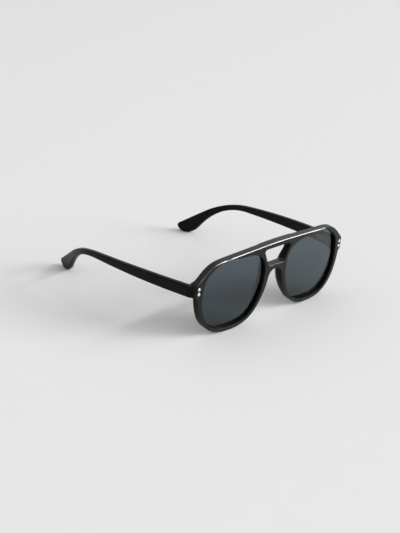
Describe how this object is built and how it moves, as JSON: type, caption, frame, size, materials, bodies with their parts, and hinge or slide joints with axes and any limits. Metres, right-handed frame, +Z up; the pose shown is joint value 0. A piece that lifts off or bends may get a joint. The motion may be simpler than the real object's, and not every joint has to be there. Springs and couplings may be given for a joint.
{
  "type": "aviator sunglasses",
  "caption": "Acetate navigator sunglasses: keyhole double bridge, tinted lenses, riveted five-barrel hinges and folding bowed temples.",
  "frame": {"origin": "middle of the footprint of the open glasses, on the surface they stand on", "axes": "+Z up, the front faces -Y, the temples run towards +Y, +X is the wearer's left"},
  "size_m": [0.1358, 0.1604, 0.0531],
  "materials": {
    "acetate": "polished black acetate",
    "lens": "dark blue-grey tint, polished",
    "pad": "polished black acetate",
    "hinge_metal": "nickel silver, brushed",
    "core_metal": "drawn nickel silver wire",
    "rivet_metal": "polished steel rivet heads"
  },
  "bodies": {
    "front": {"front_frame": "acetate", "lens_left": "lens", "lens_right": "lens", "nose_pad_left": "pad", "nose_pad_right": "pad", "hinge_leaf_front_left": "hinge_metal", "hinge_leaf_front_right": "hinge_metal", "hinge_screw_left": "hinge_metal", "hinge_screw_right": "hinge_metal", "front_rivet_lower_left": "rivet_metal", "front_rivet_lower_right": "rivet_metal", "front_rivet_upper_left": "rivet_metal", "front_rivet_upper_right": "rivet_metal"},
    "temple_left_body": {"temple_left": "acetate", "temple_core_left": "core_metal", "hinge_leaf_temple_left": "hinge_metal", "temple_pin_front_left": "hinge_metal", "temple_pin_rear_left": "hinge_metal"},
    "temple_right_body": {"temple_right": "acetate", "temple_core_right": "core_metal", "hinge_leaf_temple_right": "hinge_metal", "temple_pin_front_right": "hinge_metal", "temple_pin_rear_right": "hinge_metal"}
  },
  "joints": [
    {"name": "temple_left_fold", "type": "hinge", "parent": "front", "child": "temple_left_body", "pos_m": [0.0579, -0.06584, 0.03315], "axis": [0, 0, 1], "range_deg": [0, 90]},
    {"name": "temple_right_fold", "type": "hinge", "parent": "front", "child": "temple_right_body", "pos_m": [-0.0579, -0.06584, 0.03315], "axis": [0, 0, -1], "range_deg": [0, 72]}
  ]
}
